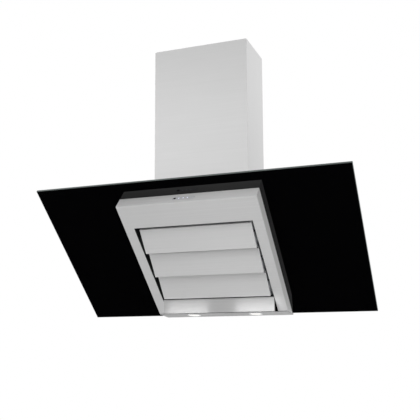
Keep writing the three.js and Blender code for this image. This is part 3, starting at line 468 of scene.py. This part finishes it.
def polished_glass_edge():
    """The ground and polished edge of that glass: grey-green, brighter than the black face."""
    finish, tree, shader = blank("polished_float_glass_edge", Roughness=0.18, IOR=1.52)
    streak = grain(tree, 0.0, (2 * MM,) * 3)
    tree.links.new(two_tones(tree, streak, "3A4240", "525C59"), shader.inputs["Base Color"])
    return finish


def speckled(name, dark, light, size, roughness, metallic=0.0, bump_depth=0.03 * MM, spread=0.06, **surface):
    """A material of two close tones in grains of `size`, with the same grains in its gloss and relief."""
    finish, tree, shader = blank(name, Metallic=metallic, **surface)
    grains = grain(tree, 0.0, (size,) * 3, detail=3.0)
    sharper = node(tree, "ShaderNodeMapRange", {"Value": grains, "From Min": 0.35, "From Max": 0.65})
    tone = two_tones(tree, sharper.outputs["Result"], dark, light)
    tree.links.new(tone, shader.inputs["Base Color"])
    gloss = node(tree, "ShaderNodeMapRange", {"Value": grains, "To Min": roughness - spread,
                                              "To Max": roughness + spread})
    tree.links.new(gloss.outputs["Result"], shader.inputs["Roughness"])
    bump = node(tree, "ShaderNodeBump", {"Height": grains, "Strength": 0.4, "Distance": bump_depth})
    tree.links.new(bump.outputs["Normal"], shader.inputs["Normal"])
    return finish


def galvanised_sheet():
    """Hot-dip galvanised sheet: zinc crystals, the spangle, each with its own gloss."""
    finish, tree, shader = blank("galvanised_steel_sheet", Metallic=0.9)
    place = node(tree, "ShaderNodeTexCoord")
    # The spangle's crystals are 3 to 8 mm across.
    crystals = node(tree, "ShaderNodeTexVoronoi", {"Vector": place.outputs["Object"], "Scale": 1 / (5 * MM)})
    value = node(tree, "ShaderNodeSeparateColor", {"Color": crystals.outputs["Color"]}).outputs["Red"]
    tree.links.new(two_tones(tree, value, "9CA0A3", "B4B8BB"), shader.inputs["Base Color"])
    gloss = node(tree, "ShaderNodeMapRange", {"Value": value, "To Min": 0.38, "To Max": 0.58})
    tree.links.new(gloss.outputs["Result"], shader.inputs["Roughness"])
    return finish


def glowing(name, base, dark, light, size, strength, **surface):
    """A translucent plastic lit from behind, its glow mottled in grains of `size`."""
    finish, tree, shader = blank(name, **surface)
    shader.inputs["Base Color"].default_value = linear(base)
    mottle = grain(tree, 0.0, (size,) * 3)
    tree.links.new(two_tones(tree, mottle, dark, light), shader.inputs["Emission Color"])
    shader.inputs["Emission Strength"].default_value = strength
    return finish


FINISHES = {
    # Folded stainless, brushed along the hood's width; its side walls are brushed up the slope.
    "steel_across": lambda: brushed_stainless("brushed_stainless_across", -LEAN, 0, contrast=0.7),
    # The louvres' steel is a lighter copy of the casing's steel: painted light.
    "steel_louvre_painted_light": lambda: brushed_stainless("brushed_stainless_louvre_painted_light", -LEAN, 0, "E4E4E4", 0.7),
    "steel_side": lambda: brushed_stainless("brushed_stainless_side", -LEAN, 2),
    # The casing's top wall takes a darker copy of the steel: painted shade.
    "steel_top_painted_shade": lambda: brushed_stainless("brushed_stainless_top_painted_shade", -LEAN, 0, "CACACA"),
    # The level steel is a darker copy of the casing's steel: painted shade, set for the lamp panel's underside.
    "steel_level_painted_shade": lambda: brushed_stainless("brushed_stainless_level_painted_shade", 0.0, 0, "C5C5C5"),
    # The deflector's steel is a darker copy of the casing's steel: painted shade.
    "steel_deflector_painted_shade": lambda: brushed_stainless("brushed_stainless_deflector_painted_shade", DEFLECTOR_OPEN - LEAN, 0,
                                                 "C4C4C4"),
    # The chimney's steel is a darker copy, which offsets the overhead light: painted shade.
    "chimney": lambda: brushed_stainless("brushed_stainless_chimney_painted_shade", 0.0, 0, "D5D5D5", 0.45, rolled=2),
    "glass": enamelled_glass,
    "glass_edge": polished_glass_edge,
    "galvanised": galvanised_sheet,
    # Spark-eroded moulds leave ABS and nylon with a fine matt grain.
    "black_abs": lambda: speckled("moulded_black_abs", "0B0B0C", "121213", 0.8 * MM, 0.6,
                                  Specular_IOR_Level=0.25),
    "white_abs": lambda: speckled("moulded_white_abs", "D2D2CE", "DEDEDA", 0.8 * MM, 0.45),
    "foam": lambda: speckled("epdm_foam_rubber", "101010", "1E1E1E", 0.7 * MM, 0.9, bump_depth=0.2 * MM),
    "aluminium": lambda: speckled("mill_finish_aluminium", "B2B5B9", "C2C5C8", 1.5 * MM, 0.38, 1.0),
    "chrome": lambda: speckled("chromium_plate", "D6D8DA", "E2E3E5", 6 * MM, 0.08, 1.0,
                               bump_depth=0.002 * MM, spread=0.02),
    # Frosted lens over a warm white LED.
    "lens": lambda: glowing("frosted_polycarbonate", "F4F4F0", "FFF6E8", "FFFFFF", 1.5 * MM, 0.4,
                            Roughness=0.35, IOR=1.58),
    # Black-passivated zinc on turned steel: dark and satin.
    "passivated": lambda: speckled("black_passivated_zinc", "26272A", "343539", 1.2 * MM, 0.42, 0.8),
    "window": lambda: speckled("grey_polycarbonate_window", "C2C3C6", "CACBCE", 5 * MM, 0.2,
                               bump_depth=0.005 * MM, spread=0.03),
    "display": lambda: speckled("dark_red_polycarbonate", "1A0B0C", "2A1012", 0.8 * MM, 0.25),
    # Diffusing cap of a lit key: cold white.
    "key_light": lambda: glowing("diffusing_acrylic", "E6E8F4", "C6CBE8", "DFE3FF", 0.8 * MM, 0.6,
                                 Roughness=0.4, IOR=1.49),
    "solder_resist": lambda: speckled("green_solder_resist", "12402A", "185234", 2 * MM, 0.35),
}
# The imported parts' finishes by material slot.
SLOT_FINISHES = {
    # The imported steel parts take the darker copy of the steel, painted shade.
    "brushed_steel": "steel_level_painted_shade",
    "chimney_steel": "chimney",
    "black_glass": "glass",
    "galvanised_steel": "galvanised",
    "black_plastic": "black_abs",
    "rubber": "foam",
    "polished_chrome": "chrome",
    "frosted_lens": "lens",
    "grey_window": "window",
    "circuit_board": "solder_resist",
    "white_plastic": "white_abs",
    "mill_aluminium": "aluminium",
}
MATERIALS = {}


def material(finish):
    """The material of a finish, made once."""
    if finish not in MATERIALS:
        MATERIALS[finish] = FINISHES[finish]()
    return MATERIALS[finish]


# ---------------------------------------------------------------- pieces
class HOOD_OT_glass(bpy.types.Operator):
    """Build the leaning glass panel with its polished edges"""

    bl_idname = "hood.glass"
    bl_label = "Glass panel"
    bl_options = {"REGISTER", "UNDO"}

    def execute(self, context):
        half = GLASS_HIGH.x
        bm = bmesh.new()
        lattice(bm, [-half, -CUTOUT_HALF, CUTOUT_HALF, half], [0, CUTOUT_LOW, CUTOUT_HIGH, GLASS_LENGTH],
                skip=[(1, 1)])
        thicken(bm, (0, GLASS_THICKNESS, 0))
        ground = bevelled(bm, rims(bm), context.scene.hood_glass.arris, segments=3)
        for face in bm.faces:
            flat = abs(face.normal.y) > 0.999
            face.material_index = 0 if flat else 1
            face.smooth = face in ground
        finished("glass_sheet", bm, "hood", ["glass", "glass_edge"], ["glass_panel"], LEANING)
        return {"FINISHED"}


class HOOD_OT_casing(bpy.types.Operator):
    """Build the folded steel casing in front of the glass, with its louvre opening and control slot"""

    bl_idname = "hood.casing"
    bl_label = "Casing"
    bl_options = {"REGISTER", "UNDO"}

    def execute(self, context):
        bm = bmesh.new()
        lattice(bm, [-CASING_HALF, -OPENING_HALF, OPENING_HALF, CASING_HALF],
                [CASING_LOW, OPENING_TOP, CASING_TOP], y=CASING_FRONT, skip=[(1, 0)])
        outside = boundary(bm, lambda p: abs(p.x) > CASING_HALF - MM or p.z > CASING_TOP - MM)
        fold_back(bm, outside, lambda p: Vector((p.x, CASING_REAR, p.z)))
        rear = boundary(bm, lambda p: p.y > CASING_REAR - MM and p.z > CASING_LOW + MM)
        fold_back(bm, rear, self.flange)
        self.cut_control_slot(bm)
        self.cut_foot(bm)
        face_front(bm)
        # Side walls take the steel brushed up the slope; the top wall takes a darker copy of the steel, painted
        # shade.
        for face in bm.faces:
            face.material_index = 1 if abs(face.normal.x) > 0.5 else 2 if abs(face.normal.z) > 0.5 else 0
        finished("casing_shell", bm, "hood", ["steel_across", "steel_side", "steel_top_painted_shade"],
                 ["front_casing"], LEANING, sheet_metal(SHEET, context.scene.hood_steel.fold))
        self.studs()
        return {"FINISHED"}

    def flange(self, place):
        """Where a point of the rear edge goes as the edge folds inwards."""
        x = place.x
        if abs(x) > OPENING_HALF + MM:
            x = math.copysign(min(abs(x), CASING_HALF - CASING_FLANGE), x)
        return Vector((x, place.y, min(place.z, CASING_TOP - CASING_FLANGE)))

    def cut_control_slot(self, bm):
        left, right = CONTROL_X - CONTROL_CELL, CONTROL_X + CONTROL_CELL
        for x in (left, right):
            top = [f for f in bm.faces if abs(f.normal.z) > 0.9]
            bmesh.ops.bisect_plane(bm, geom=top + list({e for f in top for e in f.edges}), dist=TOUCHING,
                                   plane_co=(x, 0, 0), plane_no=(1, 0, 0))
        cell = next(f for f in bm.faces if abs(f.normal.z) > 0.9
                    and left < f.calc_center_median().x < right and len(f.verts) == 4)
        round_hole(bm, cell, Vector((CONTROL_X, CONTROL_Y, CASING_TOP)), SLOT_RADIUS, CONTROL_STRAIGHT)

    def cut_foot(self, bm):
        """The casing's lower end follows the lamp panel."""
        panel = LEANING.inverted() @ PANEL
        bmesh.ops.bisect_plane(bm, geom=bm.verts[:] + bm.edges[:] + bm.faces[:], dist=TOUCHING,
                               plane_co=panel @ Vector((0, 0, PANEL_SEAT)),
                               plane_no=panel.to_3x3() @ Vector((0, 0, 1)), clear_inner=True)

    def studs(self):
        bm = bmesh.new()
        for x in (-STUD_X, STUD_X):
            for z in STUD_HEIGHTS:
                root = Matrix.Translation((x, CASING_REAR - SHEET, z))
                pin(bm, STUD_RADIUS, STUD_LENGTH, root @ Matrix.Rotation(-math.pi / 2, 4, "X"))
        # The studs take the darker copy of the steel: painted shade.
        finished("casing_studs", bm, "hood", ["steel_level_painted_shade"], (), LEANING)


class HOOD_OT_louvres(bpy.types.Operator):
    """Build the three louvres and the deflector below them as folded trays"""

    bl_idname = "hood.louvres"
    bl_label = "Louvres and deflector"
    bl_options = {"REGISTER", "UNDO"}

    def tray(self, name, part, size, finish, fold):
        """A shallow tray, its four edges folded back, turned open about its hinge."""
        half, low, high, front = size
        hinge = JOINTS[f"{part}_hinge"]
        bm = bmesh.new()
        lattice(bm, [-half, half], [low, high], y=front)
        fold_back(bm, boundary(bm, lambda p: True), lambda p: p + Vector((0, TRAY_DEPTH, 0)))
        face_front(bm)
        for face in bm.faces:
            face.material_index = 1 if abs(face.normal.x) > 0.5 else 0
        tilt = LEAN - hinge["range_deg"][1] * DEGREE
        finished(name, bm, part, [finish, "steel_side"], [part],
                 Matrix.Translation(hinge["pos_m"]) @ Matrix.Rotation(tilt, 4, "X"),
                 sheet_metal(THIN_SHEET, fold))

    def execute(self, context):
        steel = context.scene.hood_steel
        # The louvres take a lighter copy of the steel, which paints light on them.
        for number in (1, 2, 3):
            self.tray(f"louvre_tray_{number}", f"louvre_{number}", LOUVRE_TRAY, "steel_louvre_painted_light",
                      steel.louvre_fold)
        # The deflector takes a darker copy of the steel, which paints shade on it.
        self.tray("deflector_tray", "deflector", DEFLECTOR_TRAY, "steel_deflector_painted_shade", steel.fold)
        return {"FINISHED"}


class HOOD_OT_lamps(bpy.types.Operator):
    """Build the lamp panel with its two lamps"""

    bl_idname = "hood.lamps"
    bl_label = "Lamp panel and lamps"
    bl_options = {"REGISTER", "UNDO"}

    def execute(self, context):
        reach = LAMP_SETBACK / math.cos(PANEL_ANGLE)
        bm = bmesh.new()
        xs = [-CASING_HALF, -LAMP_X - LAMP_CELL, -LAMP_X + LAMP_CELL, LAMP_X - LAMP_CELL,
              LAMP_X + LAMP_CELL, CASING_HALF]
        cells = lattice(bm, xs, [0, reach - LAMP_CELL, reach + LAMP_CELL, PANEL_LENGTH])
        bmesh.ops.rotate(bm, verts=bm.verts, matrix=Matrix.Rotation(-math.pi / 2, 3, "X"))
        for column, x in ((1, -LAMP_X), (3, LAMP_X)):
            round_hole(bm, cells[column, 1], Vector((x, reach, 0)), LAMP_HOLE)
        rear = boundary(bm, lambda p: p.y > PANEL_LENGTH - MM)
        fold_back(bm, rear, lambda p: Vector((p.x, p.y, PANEL_UPTURN)))
        face_front(bm, direction=Vector((0, 0, -1)))
        # The lamp panel takes a darker copy of the steel: painted shade on its underside.
        finished("lamp_panel_plate", bm, "hood", ["steel_level_painted_shade"], ["lamp_panel"], PANEL,
                 sheet_metal(SHEET, PANEL_FOLD))
        for side, x in (("left", -LAMP_X), ("right", LAMP_X)):
            middle = PANEL @ Matrix.Translation((x, reach, 0))
            self.ring(f"bezel_{side}", BEZEL_PROFILE, middle, "polished_chrome", "chrome",
                      f"lamp_bezel_{side}")
            self.ring(f"lens_{side}", LENS_PROFILE, middle, "frosted_lens", "lens", f"lamp_lens_{side}")
        return {"FINISHED"}

    def ring(self, name, profile, middle, slot, finish, replaced):
        bm = bmesh.new()
        turned(bm, profile, middle)
        shaded_smooth(bm)
        finished(name, bm, "hood", [finish], [replaced])


class HOOD_OT_controls(bpy.types.Operator):
    """Build the control window, its key lights and its display"""

    bl_idname = "hood.controls"
    bl_label = "Controls"
    bl_options = {"REGISTER", "UNDO"}

    def execute(self, context):
        outside = CASING_TOP + WINDOW_PROUD
        bm = bmesh.new()
        round_ended(bm, (CONTROL_X, CONTROL_Y, outside), WINDOW_RADIUS, CONTROL_STRAIGHT, 32, cap_ends=True)
        thicken(bm, (0, 0, -WINDOW_THICKNESS))
        bevelled(bm, rims(bm), WINDOW_ARRIS)
        finished("control_cover", bm, "hood", ["window"], ["control_window"], LEANING)
        # Three lit keys round the window's middle, and a dark display at their left.
        self.marks("key_lights", (-1, 0, 1), KEY_RADIUS, "frosted_lens", "key_light", outside)
        self.marks("display_mark", (-2,), DISPLAY_RADIUS, "grey_window", "display", outside)
        return {"FINISHED"}

    def marks(self, name, keys, radius, slot, finish, outside):
        """A small lens, a little proud of the window, at each of the keys counted from its middle."""
        profile = ((0, 0.35), (radius * 0.6, 0.28), (radius, 0.1), (radius, -0.3), (0, -0.3))
        bm = bmesh.new()
        for key in keys:
            turned(bm, profile, Matrix.Translation((CONTROL_X + key * KEY_PITCH, CONTROL_Y, outside)),
                   segments=24)
        finished(name, bm, "hood", [finish], (), LEANING)


class HOOD_OT_chimney(bpy.types.Operator):
    """Build the two telescopic chimney sleeves"""

    bl_idname = "hood.chimney"
    bl_label = "Chimney"
    bl_options = {"REGISTER", "UNDO"}

    def sleeve(self, name, part, body):
        low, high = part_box(part)
        bm = bmesh.new()
        foot = bmesh.ops.create_grid(bm, x_segments=1, y_segments=1, size=0.5)["verts"]
        for vert in foot:
            vert.co = (high.x if vert.co.x > 0 else low.x, high.y if vert.co.y > 0 else low.y, low.z)
        bmesh.ops.delete(bm, geom=bm.faces[:], context="FACES_ONLY")
        fold_back(bm, bm.edges[:], lambda p: Vector((p.x, p.y, high.z)))
        upright = [e for e in bm.edges if not e.is_boundary]
        bevelled(bm, upright, CHIMNEY_FOLD, segments=5)
        face_front(bm)
        shaded_smooth(bm)
        # The sleeves take the chimney's darker copy of the steel: painted shade.
        finished(name, bm, body, ["chimney"], [part], None,
                 (("SOLIDIFY", {"thickness": SHEET, "offset": -1, "use_even_offset": True}),
                  ("BEVEL", {"width": CHIMNEY_ARRIS, "segments": 2, "limit_method": "ANGLE",
                             "angle_limit": 60 * DEGREE, "harden_normals": True})))

    def execute(self, context):
        self.sleeve("chimney_cover", "chimney_lower", "hood")
        self.sleeve("chimney_extension", "chimney_upper", "ceiling_frame")
        return {"FINISHED"}


class HOOD_OT_rear_cover(bpy.types.Operator):
    """Build the vented service cover on the rear housing"""

    bl_idname = "hood.rear_cover"
    bl_label = "Rear cover"
    bl_options = {"REGISTER", "UNDO"}

    def execute(self, context):
        low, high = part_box("rear_cover")
        slots = [(number - (VENT_COUNT - 1) / 2) * VENT_PITCH for number in range(VENT_COUNT)]
        rows = [-high.x, *(x - VENT_PITCH / 2 for x in slots), slots[-1] + VENT_PITCH / 2, high.x]
        margin = VENT_INSET - VENT_PITCH / 2
        # Modelled on its side, X up the cover and Z along it, so that the slots stretch along X.
        bm = bmesh.new()
        cells = lattice(bm, [low.z, low.z + margin, high.z - margin, high.z], rows)
        half_slot = (high.z - low.z) / 2 - VENT_INSET
        for row, x in enumerate(slots, start=1):
            round_hole(bm, cells[1, row], Vector(((low.z + high.z) / 2, 0, x)), VENT_WIDTH / 2,
                       half_slot - VENT_WIDTH / 2, segments=16)
        face_front(bm)
        upright = Matrix(((0, 0, 1, 0), (0, -1, 0, high.y), (1, 0, 0, 0), (0, 0, 0, 1)))
        # The service cover takes the darker copy of the steel: painted shade.
        finished("service_cover", bm, "hood", ["steel_level_painted_shade"], ["rear_cover"], upright,
                 sheet_metal(SHEET, COVER_FOLD))
        return {"FINISHED"}


class HOOD_OT_inner_parts(bpy.types.Operator):
    """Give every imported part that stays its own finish"""

    bl_idname = "hood.inner_parts"
    bl_label = "Finishes of the packed parts"
    bl_options = {"REGISTER", "UNDO"}

    def execute(self, context):
        slots = {part["node"]: part["material_slot"] for part in frame["record"]["subparts"]}
        for name, part in frame["nodes"].items():
            dark = name.endswith("_shaft") or name == "link_bar"
            part.data.materials.clear()
            part.data.materials.append(material("passivated" if dark else SLOT_FINISHES[slots[name]]))
        return {"FINISHED"}


# ---------------------------------------------------------------- stage
class HOOD_OT_stage(bpy.types.Operator):
    """Set up the floor, the light and the camera"""

    bl_idname = "hood.stage"
    bl_label = "Stage"
    bl_options = {"REGISTER", "UNDO"}

    def softbox(self, name, place, target, width, height, power):
        light = bpy.data.lights.new(name, "AREA")
        light.shape = "RECTANGLE"
        light.size = width
        light.size_y = height
        light.energy = power
        lamp = bpy.data.objects.new(name, light)
        bpy.context.scene.collection.objects.link(lamp)
        lamp.location = place
        lamp.rotation_mode = "QUATERNION"
        lamp.rotation_quaternion = (Vector(target) - Vector(place)).to_track_quat("-Z", "Y")
        return lamp

    def spill(self, side, x):
        """The light of one lamp on the deflector; it moves with the hood, and the camera can't see it."""
        place = HOOD @ Vector((x, SPILL_Y, SPILL_Z))
        lamp = self.softbox(f"spill_{side}", place, place + SPILL_AIM, SPILL_WIDTH, SPILL_HEIGHT, SPILL_POWER)
        lamp.data.spread = SPILL_SPREAD
        lamp.visible_camera = False
        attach(lamp, "hood")

    def laid(self, name, bm, finish):
        """Puts a flat piece of the stage into the scene."""
        mesh = bpy.data.meshes.new(name)
        bm.to_mesh(mesh)
        bm.free()
        mesh.materials.append(finish)
        piece = bpy.data.objects.new(name, mesh)
        bpy.context.scene.collection.objects.link(piece)

    def looked_at(self, tree):
        """1 for what the camera, a reflection or a see-through part looks at, and 0 for scattered light."""
        path = node(tree, "ShaderNodeLightPath")
        seen = node(tree, "ShaderNodeMath", {0: path.outputs["Is Camera Ray"],
                                             1: path.outputs["Is Glossy Ray"]}, operation="MAXIMUM")
        seen = node(tree, "ShaderNodeMath", {0: seen.outputs[0], 1: path.outputs["Is Transmission Ray"]},
                    operation="MAXIMUM")
        return seen.outputs[0]

    def two_faced(self, tree, output, factor, first, second):
        """Shows the first shader where the factor is 0 and the second where it is 1."""
        mixed = node(tree, "ShaderNodeMixShader", {0: factor, 1: first.outputs[0], 2: second.outputs[0]})
        tree.links.new(mixed.outputs[0], tree.nodes[output].inputs["Surface"])

    def floor(self, settings):
        bm = bmesh.new()
        bmesh.ops.create_grid(bm, x_segments=4, y_segments=4, size=FLOOR_REACH)
        bmesh.ops.translate(bm, vec=(0, 0, -settings.room_height), verts=bm.verts)
        paint, tree, shader = blank("matt_floor_paint", Roughness=0.9)
        shader.inputs["Base Color"].default_value = linear("E8E8E8")
        seen = node(tree, "ShaderNodeEmission", {"Color": (*settings.backdrop, 1), "Strength": 1.0})
        self.two_faced(tree, "Material Output", self.looked_at(tree), shader, seen)
        self.laid("floor", bm, paint)

    def flag(self, settings):
        """A black cloth on the floor, out of the camera's sight, so that the glass mirrors something dark."""
        bm = bmesh.new()
        bmesh.ops.create_grid(bm, x_segments=1, y_segments=1, size=0.5)
        place = Matrix.Translation((settings.flag_x, settings.flag_y, FLAG_LIFT - settings.room_height))
        size = Matrix.Diagonal((settings.flag_width, settings.flag_depth, 1, 1))
        bmesh.ops.transform(bm, matrix=place @ size, verts=bm.verts)
        cloth, tree, shader = blank("black_velvet", Roughness=1.0)
        shader.inputs["Base Color"].default_value = (0.002, 0.002, 0.002, 1)
        shader.inputs["Specular IOR Level"].default_value = 0.0
        path = node(tree, "ShaderNodeLightPath")
        self.two_faced(tree, "Material Output", path.outputs["Is Camera Ray"], shader,
                       node(tree, "ShaderNodeBsdfTransparent"))
        self.laid("flag", bm, cloth)

    def world(self, settings):
        world = bpy.data.worlds.new("studio")
        bpy.context.scene.world = world
        world.use_nodes = True
        tree = world.node_tree
        light = tree.nodes["Background"]
        light.inputs["Color"].default_value = (1, 1, 1, 1)
        light.inputs["Strength"].default_value = ROOM_LIGHT
        seen = node(tree, "ShaderNodeBackground", {"Color": (*settings.backdrop, 1), "Strength": 1.0})
        self.two_faced(tree, "World Output", self.looked_at(tree), light, seen)

    def camera(self):
        data = bpy.data.cameras.new("camera")
        data.sensor_width = 36
        data.lens = CAMERA_LENS
        data.shift_y = CAMERA_SHIFT
        camera = bpy.data.objects.new("camera", data)
        bpy.context.scene.collection.objects.link(camera)
        turn = (Matrix.Rotation(CAMERA_YAW, 4, "Z") @ Matrix.Rotation(math.pi / 2 + CAMERA_PITCH, 4, "X")
                @ Matrix.Rotation(CAMERA_ROLL, 4, "Z"))
        camera.matrix_world = Matrix.Translation(CAMERA_PLACE) @ turn
        bpy.context.scene.camera = camera

    def execute(self, context):
        settings = context.scene.hood_stage
        self.camera()
        self.floor(settings)
        self.flag(settings)
        self.world(settings)
        for softbox in SOFTBOXES:
            self.softbox(*softbox)
        self.spill("left", -SPILL_X)
        self.spill("right", SPILL_X)
        context.scene.view_settings.view_transform = "Standard"
        return {"FINISHED"}


class HOOD_PT_panel(bpy.types.Panel):
    """Lists the hood's sizes, its pieces and its stage"""

    bl_label = "Range Hood"
    bl_idname = "HOOD_PT_panel"
    bl_space_type = "VIEW_3D"
    bl_region_type = "UI"
    bl_category = "Range Hood"

    def draw(self, context):
        for settings in (context.scene.hood_glass, context.scene.hood_steel, context.scene.hood_stage):
            for name in settings.__annotations__:
                self.layout.prop(settings, name)
        for operator in OPERATORS:
            self.layout.operator(operator.bl_idname)


SETTINGS = {"hood_glass": GlassSizes, "hood_steel": SteelSizes, "hood_stage": StageSettings}
OPERATORS = (HOOD_OT_inner_parts, HOOD_OT_glass, HOOD_OT_casing, HOOD_OT_louvres, HOOD_OT_lamps,
             HOOD_OT_controls, HOOD_OT_chimney, HOOD_OT_rear_cover, HOOD_OT_stage)


def register():
    for cls in (*SETTINGS.values(), *OPERATORS, HOOD_PT_panel):
        bpy.utils.register_class(cls)
    for name, cls in SETTINGS.items():
        setattr(bpy.types.Scene, name, PointerProperty(type=cls))


def unregister():
    for name in SETTINGS:
        delattr(bpy.types.Scene, name)
    for cls in reversed((*SETTINGS.values(), *OPERATORS, HOOD_PT_panel)):
        bpy.utils.unregister_class(cls)


def main():
    register()
    for operator in OPERATORS:
        family, name = operator.bl_idname.split(".")
        getattr(getattr(bpy.ops, family), name)()


if __name__ == "__main__":
    main()
